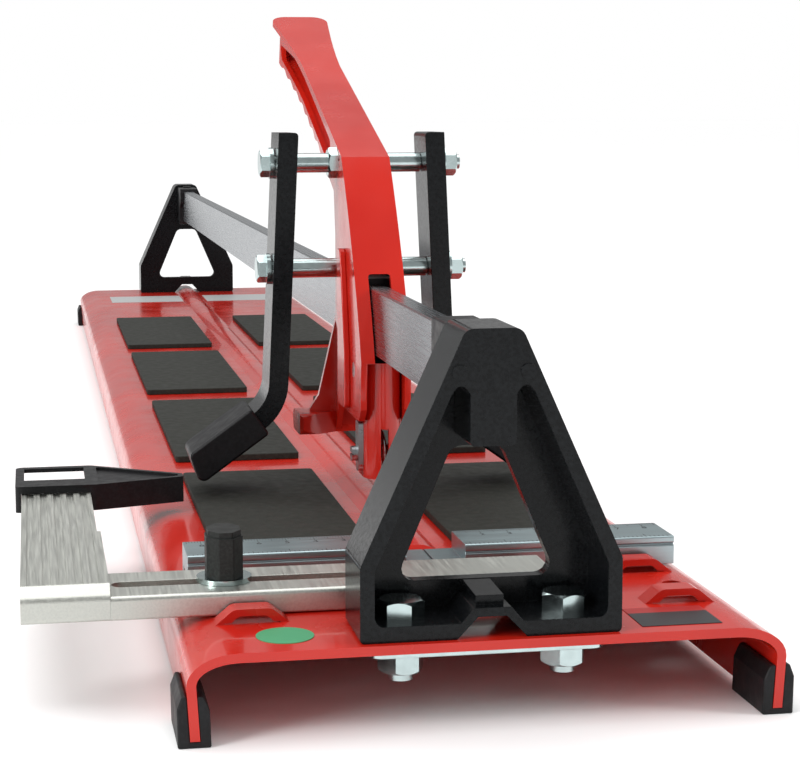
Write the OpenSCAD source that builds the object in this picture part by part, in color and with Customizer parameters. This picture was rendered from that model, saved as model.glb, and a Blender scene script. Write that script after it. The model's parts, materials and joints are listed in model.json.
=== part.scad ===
// Manual rail tile cutter: a folded steel deck with two cast brackets, a flat steel rail,
// a sliding carriage with a scoring and breaking lever, and an adjustable side gauge.
// Lengths are millimetres. X runs across the deck, Y along the rail, Z up from the floor.
// Inside the modules, x is measured from the rail, y from the outer face of the front
// bracket and z from the top of the deck; on_deck() moves that frame to the part's own
// origin, at the bottom centre of the whole part.

/* [Deck] */
// Length of the folded steel deck
deck_l = 1162; // [900:1:1500]
// Width over the two side flanges
deck_w = 187.6; // [170:0.2:240]
// Thickness of the deck sheet
sheet_t = 3; // [2:0.5:4]
// Height of the deck's top above the floor
stand_h = 28.5; // [28:0.5:45]
// Width of the raised centre rib
rib_w = 16; // [12:1:17]
// Height of the raised centre rib
rib_h = 3.3; // [2:0.1:4]

/* [Brackets and rail] */
// Width of each cast bracket
bracket_w = 82; // [76:1:110]
// Height of each cast bracket above the deck
bracket_h = 95.2; // [94:0.2:110]
// Depth of each cast bracket along the rail
bracket_d = 27; // [24:1:34]
// Distance between the two bracket bolts
bolt_spacing = 52; // [48:1:56]
// Thickness of the flat rail
rail_w = 8; // [6:0.5:9]
// Height of the flat rail
rail_h = 25.5; // [20:0.5:26]
// Height of the rail's lower edge above the deck
rail_z = 64.7; // [64:0.1:67]

/* [Pads and fence] */
// Width of each rubber pad
pad_w = 57; // [40:1:60]
// Length of each rubber pad
pad_l = 172; // [120:1:180]
// Thickness of each rubber pad
pad_t = 3; // [2:0.5:4]
// Distance from one pad to the next along the rail
pad_pitch = 211; // [185:1:240]
// Length of the ruled fence across the deck
fence_l = 172.4; // [150:0.2:180]
// Height of the ruled fence
fence_h = 10; // [8:0.5:12]

/* [Lever] */
// Outside width of the pressed lever channel
channel_w = 20; // [19:0.5:24]
// Sheet thickness of the lever channel
channel_t = 2.5; // [2:0.1:2.5]
// Length of the handle from its crease to its end
handle_l = 206; // [190:1:230]
// Slope of the handle above the horizontal, in degrees
handle_slope = 18.7; // [15:0.1:25]
// Diameter of the scoring wheel
wheel_d = 20; // [16:0.5:21]
// Diameter of the two long cross bolts between the arms
cross_bolt_d = 8; // [7:0.5:8]

/* [Side gauge] */
// Height of the slotted gauge bar
gauge_bar_h = 8; // [6:0.5:9]
// Length of the ribbed gauge block along the rail
gauge_block_l = 163; // [130:1:180]
// Number of ribs on the gauge block
gauge_ribs = 6; // [3:1:6]
// Distance between the ribs on the gauge block
gauge_rib_pitch = 5.1; // [4.6:0.1:5.1]
// Outer diameter of the clamp knob's stud
stud_d = 6; // [5:0.5:6]

/* [Hidden] */
$fn = 48;

// Deck section
end_margin = 2.5;
half_w = deck_w / 2;
bend_w = 16;
bend_h = 9.5;
flange_bottom = -(stand_h - 2.1);
rib_r = (rib_w * rib_w / 4 + rib_h * rib_h) / (2 * rib_h);
rib_start = 108;
span = deck_l - 2 * end_margin;       // outer face to outer face of the brackets
foot_l = 27;
foot_bulge = 2.9;

// Bracket section
shoulder_h = 23.5;
top_half = 8.7;
bracket_wall = 4.5;
bolt_y = 13.5;
m8_r = 4;
m8_af = 13;
m8_head = 5.3;
m8_nut = 6.5;
floor_t = 5;
hole_bottom = 13.4;
hole_top = 56;
back_t = 5;
core_half = 7.2;
core_bottom = 59.4;
sleeve_l = 30;
sleeve_half = 7.2;

// Fence
fence_y0 = 81.5;
fence_y1 = 103.5;
fence_notch = 10.4;
fence_screw_x = 62;

// Pads
pad_gap = 16;
pad_first_far = 268;

// Lever: pivot, wheel and cross bolts as (y, z)
pivot = [192, 57];
pivot_r = 3;
wheel_axis = [187, 24];
axle_r = 2;
upper_bolt = [232, 138.4];
lower_bolt = [229, 95];
crease = [220, 141];
web_foot = [174, 62];
web_bow = [187, 98];
handle_depth = 20;
neck_s = 122;
plate_flare = 5.8;
wall_flare = 2.9;
wall_l = handle_l - 5;
plate_lip = 0.5;
arm_offset = -1.6;
arm_t = 8;
arm_d = 24;
arm_half_top = 30.3;
arm_splay = 2.7;
arm_y = 230;
arm_bend_r = 20;
arm_bend_z = 48.2;
arm_turn = 54.5;
boot_t = 13.2;
boot_d = 28.5;
boot_l = 31;
running_gap = 0.05;
bolt_end_r = 3;
bolt_af = 10;
jam_af = 11;
bolt_head = 4;
bolt_nut = 5;
washer_r = 6.4;
washer_t = 1.6;

// Side gauge
stud_xy = [-76.5, 55];
gauge_y0 = 39;
gauge_y1 = 70.8;
gauge_x1 = 33;
gauge_clear = 0.3;
block_x0 = -142;
block_x1 = -114;
block_h = 11.6;
block_relief_y = 119;
stop_y = 188.5;
stop_z0 = 4.5;
stop_z1 = 14.8;
stop_wall = 2.4;
stop_plate_t = 1.6;

// Point at angle a on a circle of radius r
function polar(r, a) = r * [cos(a), sin(a)];

// Points of the arc of radius r that rounds the corner at b between a and c
function fillet(a, b, c, r, n) =
    let (u = (a - b) / norm(a - b))
    let (v = (c - b) / norm(c - b))
    let (half = acos(max(-1, min(1, u * v))) / 2)
    let (m = b + (u + v) / norm(u + v) * r / sin(half))
    let (p = b + u * r / tan(half) - m)
    let (turn = (u.x * v.y - u.y * v.x) > 0 ? -(180 - 2 * half) : 180 - 2 * half)
    [for (i = [0:n]) m + polar(r, atan2(p.y, p.x) + turn * i / n)];

// Outline with every corner rounded; radii is one number or a list with 0 for a sharp corner
function rounded(points, radii, n = 5) =
    let (count = len(points))
    [for (i = [0:count - 1])
        let (r = is_list(radii) ? radii[i] : radii)
        let (corner = points[i])
        each r == 0 ? [corner]
            : fillet(points[(i + count - 1) % count], corner, points[(i + 1) % count], r, n)];

// Quadratic curve of the lever's front web, as (y, z), and its unit normal towards the rear
function web_at(t) = (1 - t) * (1 - t) * web_foot + 2 * t * (1 - t) * web_bow + t * t * crease;
function web_slope(t) = 2 * (1 - t) * (web_bow - web_foot) + 2 * t * (crease - web_bow);
function web_normal(t) = let (d = web_slope(t) / norm(web_slope(t))) [d.y, -d.x];
function web_inside(t) = web_at(t) + channel_t * web_normal(t);

// Half width of the handle at distance s from the crease; it widens by flare at its end
function handle_half(s, flare) =
    let (neck = channel_w / 2 - 1.2)
    s < neck_s ? channel_w / 2 - 1.2 * max(0, s) / neck_s
        : neck + flare * pow((s - neck_s) / (handle_l - neck_s), 1.4);

// A half outline repeated on the other side of the x axis
function both_sides(half) =
    concat(half, [for (i = [len(half) - 1:-1:0]) [-half[i].x, half[i].y]]);

// Middle of the part's width, from the stop arm's outer wall to the right feet
middle_x = (block_x0 - stop_wall + half_w + foot_bulge) / 2;

module on_deck() { translate([-middle_x, end_margin - deck_l / 2, stand_h]) children(); }

// Extrudes an (x, z) outline from y0 to y1
module along_y(y0, y1) {
    translate([0, y1, 0]) rotate([90, 0, 0]) linear_extrude(y1 - y0) children();
}

// Extrudes a (y, z) outline from x0 to x1
module along_x(x0, x1) {
    translate([x0, 0, 0]) rotate([90, 0, 90]) linear_extrude(x1 - x0) children();
}

module block(low, high) { translate(low) cube(high - low); }

// Round bar along x, from x0 to x1, with its axis at (y, z)
module bar_x(axis, r, x0, x1) {
    translate([x0, axis.x, axis.y]) rotate([0, 90, 0]) cylinder(r = r, h = x1 - x0);
}

// Hexagonal prism along z with its upper corners turned off
module hex(af, h) {
    intersection() {
        cylinder(d = af / cos(30), h = h, $fn = 6);
        rotate_extrude()
            polygon([[0, 0], [af * 0.6, 0], [af * 0.6, h - af * 0.09], [af * 0.49, h], [0, h]]);
    }
}

module hex_x(axis, af, x0, h, way) {
    translate([x0, axis.x, axis.y]) rotate([0, 90 * way, 0]) hex(af, h);
}

// The rear bracket and its fasteners are the front ones turned about the middle of the span
module at_end(end) {
    if (end == 0) children();
    else translate([0, span, 0]) mirror([0, 1, 0]) children();
}

// ---------------------------------------------------------------- deck and brackets

module deck_section() {
    n = 8;
    outer = [for (i = [0:n]) let (a = 90 - 90 * i / n)
        [half_w - bend_w + bend_w * cos(a), -bend_h + bend_h * sin(a)]];
    inner = [for (i = [n:-1:0]) let (a = 90 - 90 * i / n)
        [half_w - bend_w + (bend_w - sheet_t) * cos(a),
         -bend_h + (bend_h - sheet_t) * sin(a)]];
    right = concat(outer, [[half_w - 1, flange_bottom], [half_w - 1 - sheet_t, flange_bottom]],
        inner);
    polygon(concat(right, [for (i = [len(right) - 1:-1:0]) [-right[i].x, right[i].y]]));
}

// Pressed bead that runs along the middle, with a sloped front end
module rib(r, start) {
    difference() {
        translate([0, start, rib_h - rib_r]) rotate([-90, 0, 0])
            cylinder(r = r, h = span + end_margin - start);
        translate([-rib_w, start, -sheet_t]) rotate([-38, 0, 0])
            translate([0, -3 * rib_w, -rib_w]) cube([2 * rib_w, 3 * rib_w, 4 * rib_w]);
    }
}

// Lanced bridge that guides the gauge bar
module bridge(x, y) {
    translate([x, 0, 0]) along_y(y - 4, y + 4) difference() {
        polygon(rounded([[-13.5, -1.6], [-6, 4.6], [6, 4.6], [13.5, -1.6]], [0, 4, 4, 0]));
        polygon(rounded([[-10, -3], [-4.6, 2.3], [4.6, 2.3], [10, -3]], [0, 3, 3, 0]));
    }
}

bridge_x = 70;
bridge_ys = [34, 75.2];

module deck() {
    color("firebrick") on_deck() difference() {
        union() {
            along_y(-end_margin, span + end_margin) deck_section();
            intersection() {
                rib(rib_r, rib_start);
                block([-rib_w, 0, -sheet_t / 2], [rib_w, span + end_margin, 2 * rib_h]);
            }
            for (side = [-1, 1], y = bridge_ys) bridge(side * bridge_x, y);
        }
        rib(rib_r - sheet_t, rib_start + sheet_t);
        for (side = [-1, 1]) {
            for (y = bridge_ys)
                block([side * bridge_x - 9, y - 4, -2 * sheet_t], [side * bridge_x + 9, y + 4, 0.2]);
            for (y = [bolt_y, span - bolt_y])
                translate([side * bolt_spacing / 2, y, -2 * sheet_t])
                    cylinder(r = m8_r, h = 3 * sheet_t);
            translate([side * stud_xy.x, stud_xy.y, -2 * sheet_t]) cylinder(r = 3.5, h = 3 * sheet_t);
            translate([side * fence_screw_x, (fence_y0 + fence_y1) / 2, -2 * sheet_t])
                cylinder(r = 2, h = 3 * sheet_t);
        }
    }
}

module bracket_outline() {
    w = bracket_w / 2;
    polygon(rounded([[-w, 0], [w, 0], [w, shoulder_h], [top_half, bracket_h],
        [-top_half, bracket_h], [-w, shoulder_h]], [1.5, 1.5, 4, 4, 4, 4]));
}

// Triangular window between the legs
module bracket_window() {
    polygon(rounded([[-26, hole_bottom], [26, hole_bottom], [8, hole_top], [-8, hole_top]],
        [4, 4, 5, 5]));
}

// Arch over the deck's centre rib; grow widens it into the arch's own wall
module rib_arch(grow) {
    polygon([[-11 - grow, -1], [-11 - grow, 0], [-4.5 - grow / 2, 6.8 + grow],
        [4.5 + grow / 2, 6.8 + grow], [11 + grow, 0], [11 + grow, -1]]);
}

// Pocket inside the rim, open to the front, with a round-topped horn up each side of the
// central block that holds the rail
module bracket_pocket() {
    w = bracket_w / 2 - bracket_wall;
    half = [[w, floor_t], [w, shoulder_h - 1.5], [12.9, 75.5], [10.2, 79], [core_half, 75.5],
        [core_half, core_bottom]];
    radii = [3, 3, 2, 2, 2, 1.5];
    polygon(rounded(both_sides(half), concat(radii, [for (i = [5:-1:0]) radii[i]])));
}

module bracket() {
    difference() {
        along_y(0, bracket_d) bracket_outline();
        difference() {
            along_y(-1, bracket_d - back_t) bracket_pocket();
            along_y(-2, bracket_d) rib_arch(2.8);
            wedge_rib();
        }
        along_y(-1, bracket_d + 1) bracket_window();
        along_y(-1, bracket_d + 1) rib_arch(0);
        for (side = [-1, 1])
            translate([side * bolt_spacing / 2, bolt_y, -1]) cylinder(r = m8_r, h = 3 * floor_t);
        block([-rail_w / 2, 8, rail_z], [rail_w / 2, bracket_d + 1, rail_z + rail_h]);
    }
    for (side = [-1, 1])
        translate([side * 10.6, 0.5, 82]) rotate([90, 0, 0]) cylinder(r = 2.4, h = 1.1);
}

// Stiffening web on top of the arch, higher at the back
module wedge_rib() {
    along_x(-4.4, 4.4)
        polygon([[4, 8], [4, 12.5], [bracket_d - back_t, hole_bottom - 0.2], [bracket_d - back_t, 8]]);
}

module front_bracket() { color("#1c1d1f") on_deck() at_end(0) bracket(); }
module rear_bracket() { color("#1c1d1f") on_deck() at_end(1) bracket(); }

module rail() {
    w = rail_w / 2;
    z1 = rail_z + rail_h;
    color("#a9adb0") on_deck() along_y(8, span - 8)
        polygon([[-w, rail_z], [w, rail_z], [w, z1 - 0.6], [w - 0.6, z1], [0.6 - w, z1],
            [-w, z1 - 0.6]]);
}

// Moulded sleeve that beds the rail behind its bracket and stops the carriage
module rail_sleeve() {
    y0 = bracket_d;
    difference() {
        union() {
            along_x(-sleeve_half, sleeve_half)
                polygon(rounded([[y0, rail_z - 3], [y0 + sleeve_l - 8, rail_z - 3],
                    [y0 + sleeve_l - 8, rail_z + 12], [y0 + sleeve_l, rail_z + 16],
                    [y0 + sleeve_l, rail_z + rail_h + 2.8], [y0, rail_z + rail_h + 2.8]],
                    [0, 2, 2, 1.5, 1.5, 0]));
            translate([0, y0 + 12, rail_z + rail_h + 2]) cylinder(r = 3.5, h = 2);
        }
        block([-rail_w / 2, y0 - 1, rail_z], [rail_w / 2, y0 + sleeve_l + 1, rail_z + rail_h]);
    }
}

module front_rail_sleeve() { color("#202224") on_deck() at_end(0) rail_sleeve(); }
module rear_rail_sleeve() { color("#202224") on_deck() at_end(1) rail_sleeve(); }

// Rubber foot that grips the lower edge of a flange
module foot(side, end) {
    color("#18191b") on_deck() at_end(end) mirror([side > 0 ? 0 : 1, 0, 0]) difference() {
        along_y(-end_margin, foot_l - end_margin)
            polygon(rounded([[half_w - 7.4, -stand_h], [half_w + 2.7, -stand_h],
                [half_w + foot_bulge, -16.5], [half_w + 1.4, -12.6], [half_w - 5, -12.6],
                [half_w - 7, -17]], [0.6, 0.6, 1, 0.6, 1.5, 1]));
        along_y(-2 * end_margin, foot_l + end_margin) deck_section();
    }
}

module front_left_foot() { foot(-1, 0); }
module front_right_foot() { foot(1, 0); }
module rear_left_foot() { foot(-1, 1); }
module rear_right_foot() { foot(1, 1); }

// Rubber pad; row 0 starts just behind the fence and is a little shorter
module pad(side, row) {
    far = pad_first_far + row * pad_pitch;
    near = max(far - pad_l, fence_y1 + 2.5);
    x0 = pad_gap;
    x1 = pad_gap + pad_w;
    color("#45463f") on_deck() mirror([side > 0 ? 0 : 1, 0, 0]) linear_extrude(pad_t)
        polygon(rounded([[x0, near], [x1, near], [x1, far], [x0, far]], 2));
}

// Ruled fence: extruded section, notched at the cutting line
module fence() {
    y0 = fence_y0;
    y1 = fence_y1;
    color("#9fb0b4") on_deck() difference() {
        along_x(-fence_l / 2, fence_l / 2)
            polygon([[y0, 0], [y0, fence_h - 3.4], [y0 + 0.7, fence_h - 3], [y0 + 0.7, fence_h - 2.6],
                [y0, fence_h - 2.2], [y0, fence_h - 0.4], [y0 + 0.4, fence_h], [y1, fence_h],
                [y1, 0], [y1 - 3, 0], [y1 - 3, 2.4], [y0 + 3, 2.4], [y0 + 3, 0]]);
        block([-fence_notch, y0 - 1, 3.8], [fence_notch, y1 + 1, fence_h + 1]);
        block([-0.35, y0 - 1, 3.4], [0.35, y1 + 1, fence_h]);
        for (side = [-1, 1])
            translate([side * fence_screw_x, (y0 + y1) / 2, -1]) cylinder(r = 2, h = 8);
    }
}

module fence_screws() {
    for (side = [-1, 1])
        color("#b9c2c2") on_deck()
            translate([side * fence_screw_x, (fence_y0 + fence_y1) / 2, 0]) {
                translate([0, 0, -sheet_t]) cylinder(r = 2, h = sheet_t + 7);
                translate([0, 0, -sheet_t - 2.4]) difference() {
                    cylinder(r = 3.6, h = 2.4);
                    translate([0, 0, -1]) cylinder(r = 1.4, h = 2.4, $fn = 6);
                }
            }
}

module backing_plate() {
    w = bolt_spacing / 2 + 11;
    difference() {
        translate([0, 0, -sheet_t - 3]) linear_extrude(3)
            polygon(rounded([[-w, 3.5], [w, 3.5], [w, 23.5], [-w, 23.5]], 4));
        for (side = [-1, 1])
            translate([side * bolt_spacing / 2, bolt_y, -3 * sheet_t])
                cylinder(r = m8_r, h = 4 * sheet_t);
    }
}

module front_backing_plate() { color("#b9c6c4") on_deck() at_end(0) backing_plate(); }
module rear_backing_plate() { color("#b9c6c4") on_deck() at_end(1) backing_plate(); }

module bracket_bolts() {
    for (side = [-1, 1]) translate([side * bolt_spacing / 2, bolt_y, 0]) {
        translate([0, 0, -sheet_t - 3 - m8_nut - 2.5])
            cylinder(r = m8_r, h = sheet_t + 3 + m8_nut + 2.5 + floor_t);
        translate([0, 0, floor_t]) rotate([0, 0, 14 * side]) hex(m8_af, m8_head);
    }
}

module front_bracket_bolts() { color("#b9c6c4") on_deck() at_end(0) bracket_bolts(); }
module rear_bracket_bolts() { color("#b9c6c4") on_deck() at_end(1) bracket_bolts(); }

module bracket_nuts() {
    for (side = [-1, 1])
        translate([side * bolt_spacing / 2, bolt_y, -sheet_t - 3]) mirror([0, 0, 1])
            difference() {
                rotate([0, 0, 8]) hex(m8_af, m8_nut);
                translate([0, 0, -1]) cylinder(r = m8_r, h = m8_nut + 2);
            }
}

module front_bracket_nuts() { color("#b9c6c4") on_deck() at_end(0) bracket_nuts(); }
module rear_bracket_nuts() { color("#b9c6c4") on_deck() at_end(1) bracket_nuts(); }

// Nuts welded under the deck, one on each side, for the clamp stud; they follow its bend
module gauge_weld_nuts() {
    for (side = [-1, 1])
        color("#a9b3b2") on_deck() difference() {
            translate([side * stud_xy.x, stud_xy.y, -sheet_t]) mirror([0, 0, 1]) hex(10, 5);
            along_y(stud_xy.y - 10, stud_xy.y + 10) deck_section();
            translate([side * stud_xy.x, stud_xy.y, -sheet_t - 6])
                cylinder(r = stud_d / 2 + running_gap, h = 7);
        }
}

// Thin stickers: a round one, a size label at the front and a strip at the rear
module decals() {
    color("#3f9a6a") on_deck() translate([-62, 14, 0]) cylinder(r = 9, h = 0.2);
    color("#3a3d40") on_deck() block([49, 4, 0], [75, 25, 0.2]);
    color("#b9bcbc") on_deck() block([-70, span - 112, 0], [-10, span - 62, 0.2]);
    color("#b9bcbc") on_deck() block([10, span - 112, 0], [70, span - 62, 0.2]);
}

// ---------------------------------------------------------------- carriage and lever

// Nylon slider that wraps the rail inside the lever channel and carries the pivot
module slider() {
    inner = channel_w / 2 - channel_t - 0.35;
    gap = rail_w / 2 + running_gap;
    tongue = 5.3;
    top = rail_z + rail_h + 2.6;
    color("#1d1e20") on_deck() difference() {
        union() {
            block([-inner, 199, rail_z], [inner, 222, top]);
            block([-tongue, pivot.x, pivot.y], [tongue, 222, rail_z]);
            bar_x(pivot, 5.6, -tongue, tongue);
        }
        block([-gap, 180, rail_z - running_gap], [gap, 240, rail_z + rail_h + running_gap]);
        bar_x(pivot, pivot_r + running_gap, -9, 9);
    }
}

// Side outline of the lever's walls, as (y, z), without the handle
module wall_outline() {
    n = 8;
    polygon(concat([for (i = [0:n]) web_at(i / n)],
        [[252, 131.5], [240, 126.5], [236.5, 108], [236.5, 60], [231, 44], [226, 38], [180, 38],
         [175.5, 43]]));
}

// The same walls' hollow, open to the rear and below
module wall_hollow() {
    n = 8;
    polygon(concat([for (i = [0:n]) web_inside(i / n)],
        [[270, 157], [270, 20], [170, 20], [170, web_foot.y], web_inside(0) - [0, 0.01]]));
}

// Frame of the handle: x across, s along its top face from the crease, n away from it
module at_handle() {
    translate([0, crease.x, crease.y]) rotate([handle_slope, 0, 0]) children();
}

// Plan of the handle's first l millimetres, from reach below its top face to reach above it
module handle_plan(l, flare, reach, shrink = 0) {
    n = 14;
    tip = 9;
    side = [for (i = [0:n]) let (s = -9 + (l - tip + 9) * i / n)
        [handle_half(s, flare) - shrink, s]];
    end = [for (i = [1:6]) let (a = 90 * i / 6)
        [handle_half(l - tip, flare) - shrink - tip * (1 - cos(a)) * 0.8,
         l - tip + (tip - shrink) * sin(a)]];
    translate([0, 0, -reach]) linear_extrude(2 * reach)
        polygon(both_sides(concat(side, end)));
}

// Side outline of the handle with finger grips along its lower edge
module handle_profile() {
    grips = [for (i = [0:40]) let (s = handle_l - 6 - (handle_l - 40) * i / 40)
        [s, -handle_depth - (s > 60 && s < 186 ? 0.9 * cos((s - 60) * 360 / 18) - 0.9 : 0)]];
    polygon(concat([[0, 0], [handle_l, 0], [handle_l, -handle_depth + 7]], grips,
        [[14, -handle_depth]]));
}

module handle_window() {
    polygon(rounded([[30, -16.5], [34, -5], [150, -4.4], [190, -9.5], [186, -16]],
        [4, 5, 12, 2, 5]));
}

// Closed box under a top plate that overhangs it towards the end
module handle() {
    at_handle() difference() {
        intersection() {
            along_x(-20, 20) handle_profile();
            union() {
                handle_plan(handle_l, plate_flare, channel_t);
                handle_plan(wall_l, wall_flare, 40, plate_lip);
            }
        }
        intersection() {
            along_x(-20, 20) translate([0, channel_t - handle_depth])
                square([handle_l, handle_depth - 2 * channel_t]);
            handle_plan(wall_l, wall_flare, 50, channel_t + plate_lip);
        }
        along_x(-20, 20) handle_window();
    }
}

module lever_channel() {
    w = channel_w / 2;
    color("firebrick") on_deck() difference() {
        union() {
            difference() {
                along_x(-w, w) wall_outline();
                along_x(channel_t - w, w - channel_t) wall_hollow();
            }
            handle();
        }
        rail_slot();
        for (axis = [upper_bolt, lower_bolt]) bar_x(axis, cross_bolt_d / 2, -20, 20);
        bar_x(pivot, pivot_r, -20, 20);
    }
}

// Slot in the lever's web that straddles the rail
module rail_slot() {
    translate([0, 200, 0]) rotate([90, 0, 0]) linear_extrude(60)
        polygon(rounded([[-4.5, 50], [4.5, 50], [4.5, 95.4], [-4.5, 95.4]], [0, 0, 1.2, 1.2]));
}

module pivot_pin() {
    color("#8f9496") on_deck() bar_x(pivot, pivot_r, -channel_w / 2, channel_w / 2);
}

// Folded holder with a round nose that shields the scoring wheel
module wheel_holder() {
    r = channel_w / 2 - channel_t;
    t = 1.8;
    nose_y = 184.6;
    rear_y = 199;
    color("firebrick") on_deck() difference() {
        translate([0, 0, 14.8]) linear_extrude(46.4) difference() {
            union() {
                translate([0, nose_y]) circle(r = r);
                translate([-r, nose_y]) square([2 * r, rear_y - nose_y]);
            }
            translate([0, nose_y]) circle(r = r - t);
            translate([t - r, nose_y]) square([2 * (r - t), rear_y - nose_y + 1]);
        }
        block([-1.6, 170, 10], [1.6, 184, 35]);
        bar_x(wheel_axis, axle_r, -20, 20);
        bar_x(pivot, pivot_r, -20, 20);
        along_x(-20, 20) polygon([[192, 10], [201, 10], [201, 30]]);
    }
}

// Plates outside the channel's two walls, beside the pivot
module cheek_plates() {
    w = channel_w / 2;
    for (side = [0, 1])
        color("firebrick") on_deck() mirror([side, 0, 0]) along_x(w, w + 2.4)
            polygon(rounded([[200, 40], [200, 62], [211, 104], [219, 104], [217, 80], [217, 40]],
                [2, 0, 3, 3, 0, 2]));
}

// Triangular gussets and round-edged lip behind the wheel
module breaker_foot() {
    w = channel_w / 2;
    lip_z = [24.5, 33.5];
    color("firebrick") on_deck() {
        difference() {
            union() {
                along_y(236.5, 239.5) polygon(both_sides([[w - 2.5, 74], [w - 0.4, 74],
                    [17.3, 40.5], [21.2, lip_z.y + 1], [21.2, lip_z.x + 1]]));
                intersection() {
                    along_x(-26.5, 26.5) polygon(rounded([[228, lip_z.x], [250, lip_z.x],
                        [250, lip_z.y], [228, lip_z.y]], [3.5, 3.5, 3.5, 2.5]));
                    translate([0, 0, lip_z.x - 1]) linear_extrude(lip_z.y - lip_z.x + 2)
                        polygon(both_sides([[w, 251], [27, 251], [27, 229.5], [25, 228],
                            [20, 229.5], [w, 236.5]]));
                }
            }
            along_y(230, 245) polygon([[-7.6, 48], [7.6, 48], [7.6, 80], [-7.6, 80]]);
        }
        for (side = [0, 1]) mirror([side, 0, 0])
            along_x(w - channel_t, w)
                polygon([[231, 44], [236.5, 60], [236.5, lip_z.x + 1], [228, 38]]);
    }
}

// Centre line of an arm seen along the rail: down, round the bend and out into the boot
module arm_section(outward) {
    a = arm_t / 2;
    top = [arm_half_top, 151];
    down = [arm_half_top + (top.y - arm_bend_z) * tan(arm_splay), arm_bend_z];
    n = 8;
    turn = arm_turn - arm_splay;
    centre = down + arm_bend_r * [cos(arm_splay), sin(arm_splay)];
    function ring(r) = [for (i = [0:n]) centre + polar(r, 180 + arm_splay + turn * i / n)];
    function tail(r, l) = centre + polar(r, 180 + arm_turn) + l * [sin(arm_turn), -cos(arm_turn)];
    polygon(concat(
        rounded([top + [a, 0], top - [a, 0], top - [a, 2]], [0, 1.5, 0]),
        ring(arm_bend_r + a),
        [tail(arm_bend_r + a, outward), tail(arm_bend_r - a, outward)],
        [for (i = [n:-1:0]) ring(arm_bend_r - a)[i]]));
}

module arm(side) {
    color("#1c1d1f") on_deck() translate([arm_offset, 0, 0]) difference() {
        mirror([side > 0 ? 0 : 1, 0, 0]) along_y(arm_y - arm_d / 2, arm_y + arm_d / 2)
            arm_section(boot_l - 4);
        for (axis = [upper_bolt, lower_bolt])
            bar_x(axis, bolt_end_r, side * 50 - 40, side * 50 + 40);
    }
}

module left_arm() { arm(-1); }
module right_arm() { arm(1); }

// Thick rubber boot over the end of an arm
module boot(side) {
    h = boot_t / 2;
    a = arm_t / 2;
    fit_l = boot_l - 4;
    down = [arm_half_top + (151 - arm_bend_z) * tan(arm_splay), arm_bend_z];
    centre = down + arm_bend_r * [cos(arm_splay), sin(arm_splay)];
    start = centre + polar(arm_bend_r, 180 + arm_turn);
    color("#141516") on_deck() translate([arm_offset, 0, 0]) mirror([side > 0 ? 0 : 1, 0, 0])
        translate([start.x, 0, start.y]) rotate([0, 90 - arm_turn, 0]) difference() {
            along_y(arm_y - boot_d / 2, arm_y + boot_d / 2)
                polygon(rounded([[-0.5, -h], [boot_l + 4, -h], [boot_l, h], [-0.5, h]],
                    [1.5, 3, 3, 1.5]));
            block([-2, arm_y - arm_d / 2, -a], [fit_l, arm_y + arm_d / 2, a]);
        }
}

module left_boot() { boot(-1); }
module right_boot() { boot(1); }

// Distance from the rail's plane to a washer on an arm's outer face at height z
function arm_face(z) = arm_half_top + (151 - z) * tan(arm_splay) + arm_t / 2 + 0.32;

// Long bolt through both arms, with its head on the left and its ends turned down inside the arms
module cross_bolt(axis) {
    reach = arm_face(axis.y) + washer_t;
    body = arm_face(axis.y) - arm_t - 0.8;
    color("#b9c6c4") on_deck() {
        bar_x(axis, cross_bolt_d / 2, arm_offset - body, arm_offset + body);
        bar_x(axis, bolt_end_r, arm_offset - reach, arm_offset + reach + bolt_nut + 1.6);
        hex_x(axis, bolt_af, arm_offset - reach, bolt_head, -1);
    }
}

module upper_cross_bolt() { cross_bolt(upper_bolt); }
module lower_cross_bolt() { cross_bolt(lower_bolt); }

module cross_bolt_nuts() {
    for (axis = [upper_bolt, lower_bolt])
        color("#b9c6c4") on_deck() difference() {
            hex_x(axis, bolt_af, arm_offset + arm_face(axis.y) + washer_t, bolt_nut, 1);
            bar_x(axis, bolt_end_r, 20, 60);
        }
}

module cross_bolt_washers() {
    for (axis = [upper_bolt, lower_bolt], side = [-1, 1])
        color("#b9c6c4") on_deck() difference() {
            translate([arm_offset + side * (arm_face(axis.y) + washer_t / 2), 0, 0])
                bar_x(axis, washer_r, -washer_t / 2, washer_t / 2);
            bar_x(axis, bolt_end_r, -60, 60);
        }
}

// Nut that locks the upper bolt against the left wall of the channel
module jam_nut() {
    color("#b9c6c4") on_deck() difference() {
        hex_x(upper_bolt, jam_af, -channel_w / 2, 4, -1);
        bar_x(upper_bolt, cross_bolt_d / 2, -30, 0);
    }
}

module wheel_axle() {
    w = channel_w / 2 - channel_t;
    color("#aab1b2") on_deck() {
        bar_x(wheel_axis, axle_r, -w - 2, w + 3.4);
        difference() {
            bar_x(wheel_axis, 3, -w - 4.4, -w - 2);
            block([-w - 5, wheel_axis.x - 4, wheel_axis.y - 0.4],
                [-w - 3.6, wheel_axis.x + 4, wheel_axis.y + 0.4]);
        }
    }
}

module axle_nut() {
    color("#aab1b2") on_deck() difference() {
        hex_x(wheel_axis, 7, channel_w / 2 - channel_t, 3, 1);
        bar_x(wheel_axis, axle_r, 0, 20);
    }
}

module wheel_spacers() {
    for (side = [-1, 1])
        color("#aab1b2") on_deck() difference() {
            bar_x(wheel_axis, 3.4, side * 3.4 - 2.3, side * 3.4 + 2.3);
            bar_x(wheel_axis, axle_r, -20, 20);
        }
}

// Steel strap under the axle's head, on the left of the holder
module holder_strap() {
    w = channel_w / 2 - channel_t;
    color("#9aa0a1") on_deck() difference() {
        along_x(-w - 2, -w)
            polygon(rounded([[183.5, 17], [190.5, 17], [190.5, 37], [183.5, 37]], [3, 3, 1, 1]));
        bar_x(wheel_axis, axle_r, -20, 20);
    }
}

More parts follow.
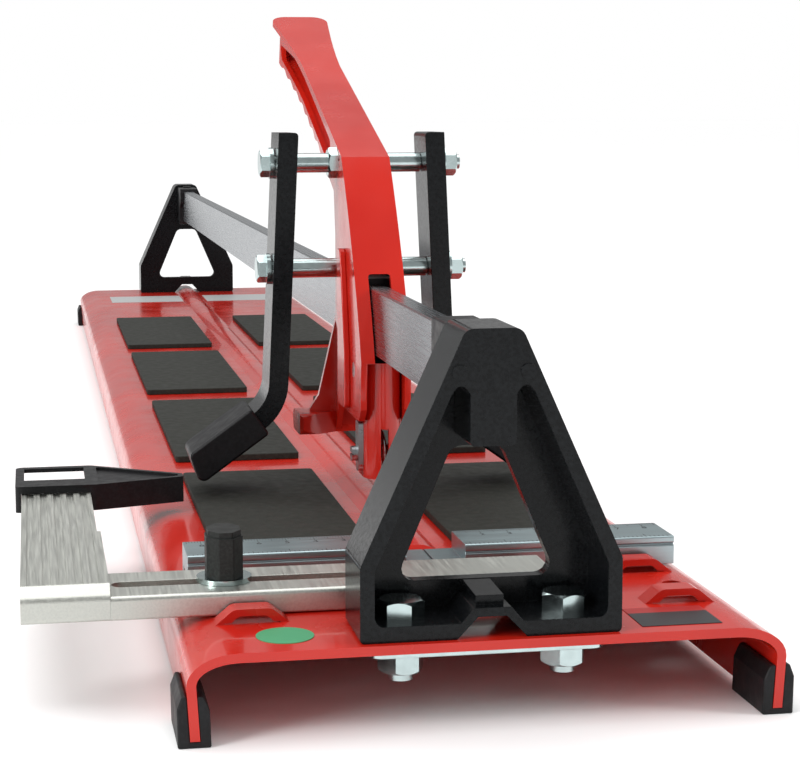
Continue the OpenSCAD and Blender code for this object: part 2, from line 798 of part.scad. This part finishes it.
// Scoring wheel with a bevelled cutting edge
module scoring_wheel() {
    r = wheel_d / 2;
    b = axle_r + running_gap;
    color("#c8ccce") on_deck() translate([0, wheel_axis.x, wheel_axis.y]) rotate([0, 90, 0])
        rotate_extrude() polygon([[b, -1], [r - 1.4, -1], [r, -0.1], [r, 0.1], [r - 1.4, 1], [b, 1]]);
}

// ---------------------------------------------------------------- side gauge

module gauge_bar() {
    slot = [block_x1 + 1, -25];
    half = 3.5;
    color("#b3b0a6") on_deck() difference() {
        along_x(block_x1, gauge_x1)
            polygon(rounded([[gauge_y0, gauge_clear], [gauge_y1, gauge_clear],
                [gauge_y1, gauge_bar_h], [gauge_y0, gauge_bar_h]], [0.8, 0.8, 0.4, 1.6]));
        for (x = [slot.x + half, slot.y - half])
            translate([x, stud_xy.y, -1]) cylinder(r = half, h = 20);
        block([slot.x + half, stud_xy.y - half, -1], [slot.y - half, stud_xy.y + half, 20]);
    }
}

// Ribbed block that reaches back beside the deck, with a bull nose at the front
module gauge_block() {
    y1 = gauge_y0 + gauge_block_l;
    w = gauge_rib_pitch - 2.4;
    color("#b3b0a6") on_deck() difference() {
        along_x(block_x0, block_x1)
            polygon(rounded([[gauge_y0, gauge_clear], [y1, gauge_clear], [y1, block_h],
                [gauge_y0 + 4.4, block_h], [gauge_y0, block_h - 3.6]], [1, 0.5, 0.5, 2.5, 2.5]));
        for (i = [0:gauge_ribs - 2])
            block([block_x0 + 1.9 + i * gauge_rib_pitch, gauge_y0 + 5.4, block_h - 0.8],
                [block_x0 + 1.9 + i * gauge_rib_pitch + w, y1 + 1, block_h + 1]);
        block([block_x1 - 1.3, block_relief_y, -1], [block_x1 + 1, y1 + 1, 20]);
        for (y = [46, 64])
            translate([block_x0 + 6, y, gauge_bar_h / 2]) rotate([0, 90, 0])
                cylinder(r = 1.5, h = 30);
    }
}

// Screws that join the bar to the block, driven in from the outer side
module gauge_screws() {
    for (y = [46, 64])
        color("#8f9496") on_deck() translate([block_x0 + 6, y, gauge_bar_h / 2])
            rotate([0, 90, 0]) cylinder(r = 1.5, h = block_x1 - block_x0 - 6);
}

// Stop arm: a saddle that slides along the block, with a thin framed window behind the
// block's end and a wedge that reaches over the deck
module stop_arm() {
    y0 = stop_y;
    x0 = block_x0 - stop_wall;
    gap = 0.3;
    depth = gauge_y0 + gauge_block_l + gap;
    color("#191a1c") on_deck() difference() {
        translate([0, 0, stop_z0]) linear_extrude(stop_z1 - stop_z0)
            polygon(rounded([[x0, y0], [block_x1 + 1, y0], [-78, y0 + 10.5], [-78, y0 + 17],
                [block_x1, y0 + 41], [x0, y0 + 41]], [1.5, 0, 1.2, 1.2, 3, 3]));
        block([block_x0 - gap, y0 - 1, stop_z0 - 1], [block_x1 - 1, y0 + 42, block_h + gap]);
        block([block_x0 - gap, depth, stop_z0 - 1], [block_x1 - 1, y0 + 42, stop_z1 - stop_plate_t]);
        block([block_x0 + 1, depth - 1, stop_z0 - 1], [block_x1 - 3, y0 + 37, stop_z1 + 1]);
        translate([0, 0, stop_z1 - 1.2]) linear_extrude(3)
            polygon(rounded([[block_x1 + 2, y0 + 3], [-80, y0 + 12.2], [-80, y0 + 15.8],
                [block_x1 + 2, y0 + 37]], 1));
    }
    color("#191a1c") on_deck() for (i = [0:gauge_ribs - 2])
        block([block_x0 + 3.4 + i * gauge_rib_pitch, depth - 1, block_h + 0.8],
            [block_x0 + 5.8 + i * gauge_rib_pitch, depth - 0.2, stop_z1 - 0.4]);
}

module knob_outline(r) {
    polygon(rounded([for (i = [0:7]) [r * 0.92 * cos(i * 45 + 22.5), r * 1.3 * sin(i * 45 + 22.5)]],
        r * 0.12, 3));
}

module clamp_knob() {
    z0 = gauge_bar_h + 1.8;
    color("#232526") on_deck() translate([stud_xy.x, stud_xy.y, z0]) difference() {
        union() {
            linear_extrude(13.5) knob_outline(7);
            translate([0, 0, 13.5]) linear_extrude(2) knob_outline(6.3);
            translate([0, 0, -0.1]) cylinder(r = 5.4, h = 1);
        }
        translate([0, 0, -1]) cylinder(r = stud_d / 2, h = 11);
    }
}

module clamp_stud() {
    color("#aab1b2") on_deck() translate([stud_xy.x, stud_xy.y, -sheet_t - 7])
        cylinder(r = stud_d / 2, h = gauge_bar_h + 1.8 + 10 + sheet_t + 7);
}

module clamp_washer() {
    color("#b9c6c4") on_deck() translate([stud_xy.x, stud_xy.y, gauge_bar_h + 0.1])
        difference() {
            cylinder(r = 9, h = 1.6);
            translate([0, 0, -1]) cylinder(r = stud_d / 2, h = 4);
        }
}

deck();
front_bracket();
rear_bracket();
rail();
front_rail_sleeve();
rear_rail_sleeve();
front_left_foot();
front_right_foot();
rear_left_foot();
rear_right_foot();
pad(-1, 0);  // left_pad_1
pad(-1, 1);  // left_pad_2
pad(-1, 2);  // left_pad_3
pad(-1, 3);  // left_pad_4
pad(1, 0);  // right_pad_1
pad(1, 1);  // right_pad_2
pad(1, 2);  // right_pad_3
pad(1, 3);  // right_pad_4
fence();
fence_screws();
front_backing_plate();
rear_backing_plate();
front_bracket_bolts();
rear_bracket_bolts();
front_bracket_nuts();
rear_bracket_nuts();
gauge_weld_nuts();
decals();
slider();
lever_channel();
pivot_pin();
wheel_holder();
cheek_plates();
breaker_foot();
left_arm();
right_arm();
left_boot();
right_boot();
upper_cross_bolt();
lower_cross_bolt();
cross_bolt_nuts();
cross_bolt_washers();
jam_nut();
wheel_axle();
axle_nut();
wheel_spacers();
holder_strap();
scoring_wheel();
gauge_bar();
gauge_block();
gauge_screws();
stop_arm();
clamp_knob();
clamp_stud();
clamp_washer();
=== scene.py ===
"""Looks of a manual rail tile cutter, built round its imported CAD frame. Lengths are metres."""

import json
import math

import bmesh
import bpy
from mathutils import Matrix, Vector


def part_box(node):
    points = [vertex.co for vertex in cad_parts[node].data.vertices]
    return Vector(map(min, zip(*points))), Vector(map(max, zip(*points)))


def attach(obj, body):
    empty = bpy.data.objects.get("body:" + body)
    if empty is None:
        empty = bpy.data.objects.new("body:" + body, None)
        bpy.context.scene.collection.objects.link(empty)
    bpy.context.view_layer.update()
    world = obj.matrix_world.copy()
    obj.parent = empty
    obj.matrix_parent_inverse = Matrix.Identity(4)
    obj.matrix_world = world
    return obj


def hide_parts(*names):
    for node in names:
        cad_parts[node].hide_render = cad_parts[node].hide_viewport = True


MM = 0.001
INCH = 25.4 * MM
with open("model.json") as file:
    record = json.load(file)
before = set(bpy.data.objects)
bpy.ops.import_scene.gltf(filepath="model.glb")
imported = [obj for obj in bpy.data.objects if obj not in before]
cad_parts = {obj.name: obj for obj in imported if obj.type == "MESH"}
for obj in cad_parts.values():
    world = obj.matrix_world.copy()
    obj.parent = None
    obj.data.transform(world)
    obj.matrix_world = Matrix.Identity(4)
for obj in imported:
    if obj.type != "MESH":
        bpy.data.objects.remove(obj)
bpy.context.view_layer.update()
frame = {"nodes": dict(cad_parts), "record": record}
RAIL_X = sum(corner.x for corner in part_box("rail")) / 2
slot_of = {row["node"]: row["material_slot"] for row in frame["record"]["subparts"]}
body_of = {
    node: body
    for body, members in frame["record"]["behaviour"]["bodies"].items()
    for node in members
}


# ---------------------------------------------------------------- camera, light and floor


def add_camera():
    """Low view from the fence end, a little left of the rail."""
    yaw, pitch, roll = (math.radians(a) for a in (-9.534, -7.128, -0.206))
    forward = Vector(
        (-math.sin(yaw) * math.cos(pitch), math.cos(yaw) * math.cos(pitch), math.sin(pitch))
    )
    level = Vector((math.cos(yaw), math.sin(yaw), 0))
    over = level.cross(forward)
    right = level * math.cos(roll) + over * math.sin(roll)
    up = over * math.cos(roll) - level * math.sin(roll)
    data = bpy.data.cameras.new("camera")
    data.lens = 84.8
    data.sensor_width = 36
    data.shift_x = 0.0647
    data.shift_y = -0.042
    data.clip_end = 100
    camera = bpy.data.objects.new("camera", data)
    turn = Matrix((right, up, -forward)).transposed().to_4x4()
    camera.matrix_world = Matrix.Translation((-0.1119, -1.1228, 0.1883)) @ turn
    bpy.context.scene.collection.objects.link(camera)
    bpy.context.scene.camera = camera


def add_softbox(name, place, target, size, power):
    data = bpy.data.lights.new(name, "AREA")
    data.shape = "RECTANGLE"
    data.size, data.size_y = size
    data.energy = power
    aim(data, place, target)


def aim(data, place, target):
    lamp = bpy.data.objects.new(data.name, data)
    lamp.location = place
    lamp.rotation_euler = (Vector(target) - Vector(place)).to_track_quat("-Z", "Y").to_euler()
    bpy.context.scene.collection.objects.link(lamp)


def add_studio():
    """White backdrop and floor, with a dimmer room for the metal and the paint to reflect."""
    bpy.context.scene.view_settings.view_transform = "Standard"
    world = bpy.data.worlds.new("studio")
    world.use_nodes = True
    nodes, links = world.node_tree.nodes, world.node_tree.links
    room = nodes["Background"]
    room.inputs["Color"].default_value = (1, 1, 1, 1)
    room.inputs["Strength"].default_value = 0.42
    backdrop = nodes.new("ShaderNodeBackground")
    backdrop.inputs["Color"].default_value = (1, 1, 1, 1)
    rays = nodes.new("ShaderNodeLightPath")
    pick = nodes.new("ShaderNodeMixShader")
    links.new(rays.outputs["Is Camera Ray"], pick.inputs["Fac"])
    links.new(room.outputs["Background"], pick.inputs[1])
    links.new(backdrop.outputs["Background"], pick.inputs[2])
    links.new(pick.outputs["Shader"], nodes["World Output"].inputs["Surface"])
    bpy.context.scene.world = world
    sun = bpy.data.lights.new("overhead", "SUN")
    sun.energy = 2.25
    sun.angle = math.radians(70)
    aim(sun, (-0.4, 0.5, 2), (0, 0, 0))
    add_softbox("key", (-1.5, -1.3, 1.0), (0, -0.4, 0.05), (0.5, 1.0), 20)
    add_softbox("fill", (1.5, -1.1, 0.9), (0, -0.4, 0.05), (0.4, 0.9), 12)
    mesh = bpy.data.meshes.new("floor")
    reach = 30
    mesh.from_pydata(
        [(-reach, -reach, 0), (reach, -reach, 0), (reach, reach, 0), (-reach, reach, 0)],
        [],
        [(0, 1, 2, 3)],
    )
    floor = bpy.data.objects.new("floor", mesh)
    bpy.context.scene.collection.objects.link(floor)
    mesh.materials.append(
        shader("floor", (0.93, 0.93, 0.93), Roughness=0.8, Specular_IOR_Level=0.1)
    )


# ---------------------------------------------------------------- material tools


def shader(name, colour, **sockets):
    """Principled material; a socket's name is written with _ for its spaces."""
    material = bpy.data.materials.new(name)
    material.use_nodes = True
    inputs = material.node_tree.nodes["Principled BSDF"].inputs
    inputs["Base Color"].default_value = (*colour, 1)
    for socket, value in sockets.items():
        inputs[socket.replace("_", " ")].default_value = value
    return material


def node(material, kind, **inputs):
    made = material.node_tree.nodes.new(kind)
    for socket, value in inputs.items():
        made.inputs[socket.replace("_", " ")].default_value = value
    return made


def grain(material, scale, detail=2.0, stretch=(1, 1, 1)):
    """Noise in the object's own metres; stretch squeezes it along an axis."""
    links = material.node_tree.links
    place = node(material, "ShaderNodeTexCoord")
    mapping = node(material, "ShaderNodeMapping", Scale=stretch)
    noise = node(material, "ShaderNodeTexNoise", Scale=scale, Detail=detail)
    links.new(place.outputs["Object"], mapping.inputs["Vector"])
    links.new(mapping.outputs["Vector"], noise.inputs["Vector"])
    return noise.outputs["Fac"]


def tint(material, fac, dark, light, low=0.35, high=0.65):
    """Base colour from dark to light where fac goes from low to high."""
    ramp = node(material, "ShaderNodeValToRGB")
    ramp.color_ramp.elements[0].position = low
    ramp.color_ramp.elements[1].position = high
    ramp.color_ramp.elements[0].color = (*dark, 1)
    ramp.color_ramp.elements[1].color = (*light, 1)
    tree = material.node_tree
    tree.links.new(fac, ramp.inputs["Fac"])
    tree.links.new(ramp.outputs["Color"], tree.nodes["Principled BSDF"].inputs["Base Color"])


def roughen(material, fac, low, high):
    """Roughness from low to high over the middle of fac's range."""
    span = node(
        material, "ShaderNodeMapRange", From_Min=0.3, From_Max=0.7, To_Min=low, To_Max=high
    )
    tree = material.node_tree
    tree.links.new(fac, span.inputs["Value"])
    tree.links.new(span.outputs["Result"], tree.nodes["Principled BSDF"].inputs["Roughness"])


def emboss(material, fac, depth, strength=1.0):
    """Bump of the given depth in metres."""
    bump = node(material, "ShaderNodeBump", Strength=strength, Distance=depth)
    tree = material.node_tree
    tree.links.new(fac, bump.inputs["Height"])
    tree.links.new(bump.outputs["Normal"], tree.nodes["Principled BSDF"].inputs["Normal"])


# ---------------------------------------------------------------- materials


def red_paint():
    m = shader(
        "red_paint",
        (0.52, 0.014, 0.006),
        Roughness=0.22,
        Specular_IOR_Level=0.3,
        Coat_Weight=0.35,
        Coat_Roughness=0.04,
    )
    tint(m, grain(m, 14, 3), (0.47, 0.011, 0.005), (0.57, 0.018, 0.008))
    roughen(m, grain(m, 60, 3), 0.16, 0.3)
    emboss(m, grain(m, 150, 2), 0.12 * MM, 0.5)
    return m


def black_casting():
    m = shader("black_casting", (0.004, 0.0045, 0.005), Roughness=0.2, Specular_IOR_Level=0.17)
    tint(m, grain(m, 900, 3), (0.0025, 0.003, 0.0035), (0.007, 0.008, 0.009))
    roughen(m, grain(m, 700, 3), 0.16, 0.26)
    emboss(m, grain(m, 500, 2), 0.02 * MM, 0.4)
    return m


def metal(name, colour, rough, stretch, scale=900, depth=0.02):
    """Bare or plated metal with a grain that may be drawn out along one axis; depth in mm."""
    m = shader(name, colour, Metallic=1.0, Roughness=rough)
    lines = grain(m, scale, 4, stretch)
    tint(m, lines, tuple(c * 0.92 for c in colour), tuple(min(1, c * 1.05) for c in colour))
    roughen(m, lines, rough * 0.85, rough * 1.2)
    emboss(m, lines, depth * MM, 0.3)
    return m


def rubber(name, colour, rough, speckle):
    """Rubber or moulded plastic with a fine speckle."""
    m = shader(name, colour, Roughness=rough, Specular_IOR_Level=0.25)
    spots = grain(m, speckle, 3)
    tint(m, spots, tuple(c * 0.75 for c in colour), tuple(c * 1.35 for c in colour), 0.4, 0.68)
    roughen(m, grain(m, speckle / 4, 2), rough - 0.08, rough + 0.08)
    emboss(m, spots, 0.1 * MM, 0.6)
    return m


def sticker():
    """Blank colour fields: silver far, green near left, dark with a red band near right."""
    silver, green = (0.42, 0.43, 0.43), (0.05, 0.31, 0.14)
    dark, red = (0.02, 0.021, 0.024), (0.4, 0.012, 0.01)
    m = shader("sticker", silver, Roughness=0.4)
    links = m.node_tree.links
    place = node(m, "ShaderNodeTexCoord")
    axes = node(m, "ShaderNodeSeparateXYZ")
    links.new(place.outputs["Object"], axes.inputs["Vector"])

    def choose(value, edge, below, above):
        """One colour below the edge and another above it."""
        step = node(m, "ShaderNodeMath")
        step.operation = "GREATER_THAN"
        step.inputs[1].default_value = edge
        links.new(value, step.inputs[0])
        mix = node(m, "ShaderNodeMixRGB")
        links.new(step.outputs["Value"], mix.inputs["Fac"])
        for socket, colour in (("Color1", below), ("Color2", above)):
            if isinstance(colour, tuple):
                mix.inputs[socket].default_value = (*colour, 1)
            else:
                links.new(colour, mix.inputs[socket])
        return mix.outputs["Color"]

    band_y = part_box("decals")[0].y + 15 * MM
    banded = choose(axes.outputs["Y"], band_y, dark, red)
    near = choose(axes.outputs["X"], RAIL_X, green, banded)
    both = choose(axes.outputs["Y"], 0, near, silver)
    links.new(both, m.node_tree.nodes["Principled BSDF"].inputs["Base Color"])
    emboss(m, grain(m, 600, 2), 0.02 * MM, 0.3)
    return m


def make_materials():
    along_y, along_x = (1, 0.03, 1), (0.03, 1, 1)
    return {
        "red_paint": red_paint(),
        "black_casting": black_casting(),
        "rail_steel": metal("rail_steel", (0.30, 0.32, 0.34), 0.26, along_y, 1500, 0.006),
        "zinc": metal("zinc", (0.50, 0.60, 0.60), 0.2, (1, 1, 1), 300, 0.03),
        "pin_steel": metal("pin_steel", (0.42, 0.44, 0.45), 0.3, (1, 1, 1), 500),
        "wheel_steel": metal("wheel_steel", (0.6, 0.61, 0.62), 0.2, (1, 1, 1), 700),
        "fence_aluminium": metal("fence_aluminium", (0.38, 0.47, 0.49), 0.34, along_x),
        "gauge_aluminium": metal("gauge_aluminium", (0.55, 0.56, 0.52), 0.42, along_y, 1400, 0.012),
        "pad_rubber": rubber("pad_rubber", (0.018, 0.019, 0.015), 0.72, 900),
        "foot_rubber": rubber("foot_rubber", (0.008, 0.008, 0.009), 0.5, 700),
        "boot_rubber": rubber("boot_rubber", (0.007, 0.007, 0.008), 0.45, 700),
        "black_plastic": rubber("black_plastic", (0.008, 0.008, 0.009), 0.4, 1100),
        "knob_plastic": rubber("knob_plastic", (0.018, 0.020, 0.019), 0.55, 1100),
        "slider_nylon": rubber("slider_nylon", (0.010, 0.010, 0.012), 0.42, 500),
        "sticker": sticker(),
    }


# ---------------------------------------------------------------- softened CAD shapes

# Edge radius in millimetres of each kind of part, by how it is made
EDGE = {
    "front_bracket": 0.7,
    "rear_bracket": 0.7,
    "lever_channel": 0.45,
    "wheel_holder": 0.3,
    "cheek_plates": 0.4,
    "breaker_foot": 0.8,
    "deck": 0.5,
    "fence": 0.25,
    "gauge_bar": 0.3,
    "stop_arm": 0.4,
    "clamp_knob": 0.5,
    "left_arm": 2.0,
    "right_arm": 2.0,
    "left_boot": 3.0,
    "right_boot": 3.0,
    "front_rail_sleeve": 0.7,
    "rear_rail_sleeve": 0.7,
    "slider": 0.4,
    "front_backing_plate": 0.4,
    "rear_backing_plate": 0.4,
}
for end in ("front", "rear"):
    for side in ("left", "right"):
        EDGE[f"{end}_{side}_foot"] = 0.6
for side in ("left", "right"):
    for row in range(1, 5):
        EDGE[f"{side}_pad_{row}"] = 0.4


def soften(name, radius):
    """A copy of a CAD node with small rounded edges, which stands for it."""
    mesh = frame["nodes"][name].data.copy()
    mesh.name = f"{name}_rounded"
    bm = bmesh.new()
    bm.from_mesh(mesh)
    bmesh.ops.remove_doubles(bm, verts=bm.verts, dist=1e-6)
    bmesh.ops.dissolve_limit(
        bm, angle_limit=math.radians(0.6), verts=bm.verts, edges=bm.edges
    )
    bm.to_mesh(mesh)
    bm.free()
    if "custom_normal" in mesh.attributes:
        mesh.attributes.remove(mesh.attributes["custom_normal"])
    mesh.shade_smooth()
    mesh.set_sharp_from_angle(angle=math.radians(32))
    piece = bpy.data.objects.new(f"{name}_rounded", mesh)
    bpy.context.scene.collection.objects.link(piece)
    bevel = piece.modifiers.new("rounded edges", "BEVEL")
    bevel.width = radius * MM
    bevel.segments = 2
    bevel.limit_method = "ANGLE"
    bevel.angle_limit = math.radians(35)
    bevel.use_clamp_overlap = True
    bevel.harden_normals = True
    piece.modifiers.new("even shading", "WEIGHTED_NORMAL").keep_sharp = True
    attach(piece, body_of[name])
    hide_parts(name)
    return piece


def dress(materials):
    """Gives every node, or the rounded copy that stands for it, its slot's material."""
    for name, cad in frame["nodes"].items():
        piece = soften(name, EDGE[name]) if name in EDGE else cad
        piece.data.materials.clear()
        piece.data.materials.append(materials[slot_of[name]])


# ---------------------------------------------------------------- the fence's scale

# Thickness of the printed marks, and width of a tick
INK_T = 0.04 * MM
TICK_W = 0.16 * MM


def add_scale(ink):
    """Millimetres at the far edge, sixteenths of an inch at the near edge, and numerals."""
    low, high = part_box("fence")
    top = high.z
    notch = 10.4 * MM
    half = high.x - RAIL_X - MM
    far_y, near_y = high.y - 0.3 * MM, low.y + 0.6 * MM
    bm = bmesh.new()

    def tick(x, y0, y1):
        bmesh.ops.create_cube(
            bm,
            size=1,
            matrix=Matrix.Translation((RAIL_X + x, (y0 + y1) / 2, top + INK_T / 2))
            @ Matrix.Diagonal((TICK_W, y1 - y0, INK_T, 1)),
        )

    def marks(step, per_numeral):
        """Number and length of each mark from the notch to the fence's end."""
        for i in range(int(notch / step) + 1, int(half / step) + 1):
            length = 5 if i % per_numeral == 0 else 3.6 if i % (per_numeral // 2) == 0 else 2.2
            yield i, length * MM

    for side in (-1, 1):
        for i, length in marks(MM, 10):
            tick(side * i * MM, high.y - length, far_y)
        for i, length in marks(INCH / 16, 16):
            tick(side * i * INCH / 16, near_y, low.y + length)
    mesh = bpy.data.meshes.new("fence_ticks")
    bm.to_mesh(mesh)
    bm.free()
    ticks = bpy.data.objects.new("fence_ticks", mesh)
    bpy.context.scene.collection.objects.link(ticks)
    mesh.materials.append(ink)
    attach(ticks, "base")
    for side in (-1, 1):
        for cm in range(2, int(half * 100) + 1):
            place = Vector((RAIL_X + side * cm / 100, high.y - 8.4 * MM, top))
            add_numeral(cm, side, place, ink)


def add_numeral(number, side, place, ink):
    """A centimetre numeral as a thin solid on the fence's top."""
    curve = bpy.data.curves.new("numeral", "FONT")
    curve.body = str(number)
    curve.size = 4 * MM
    curve.align_x = "CENTER"
    curve.extrude = INK_T / 2
    text = bpy.data.objects.new("numeral", curve)
    bpy.context.scene.collection.objects.link(text)
    bpy.context.view_layer.update()
    mesh = bpy.data.meshes.new_from_object(text)
    bpy.data.objects.remove(text)
    name = f"fence_numeral_{'left' if side < 0 else 'right'}_{number}"
    numeral = bpy.data.objects.new(name, mesh)
    bpy.context.scene.collection.objects.link(numeral)
    mesh.transform(Matrix.Translation(place))
    mesh.materials.clear()
    mesh.materials.append(ink)
    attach(numeral, "base")


def add_centre_line(ink):
    """Scribed cutting line down the fence's notch."""
    low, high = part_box("fence")
    floor_z = low.z + 3.8 * MM
    mesh = bpy.data.meshes.new("fence_centre_line")
    x0, x1 = RAIL_X - 0.3 * MM, RAIL_X + 0.3 * MM
    y0, y1, z = low.y + 0.4 * MM, high.y - 0.4 * MM, floor_z + INK_T / 2
    mesh.from_pydata([(x0, y0, z), (x1, y0, z), (x1, y1, z), (x0, y1, z)], [], [(0, 1, 2, 3)])
    line = bpy.data.objects.new("fence_centre_line", mesh)
    bpy.context.scene.collection.objects.link(line)
    mesh.materials.append(ink)
    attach(line, "base")


add_camera()
add_studio()
materials = make_materials()
dress(materials)
ink = shader("scale_ink", (0.008, 0.009, 0.012), Roughness=0.6)
emboss(ink, grain(ink, 900, 2), 0.01 * MM)
add_scale(ink)
add_centre_line(ink)
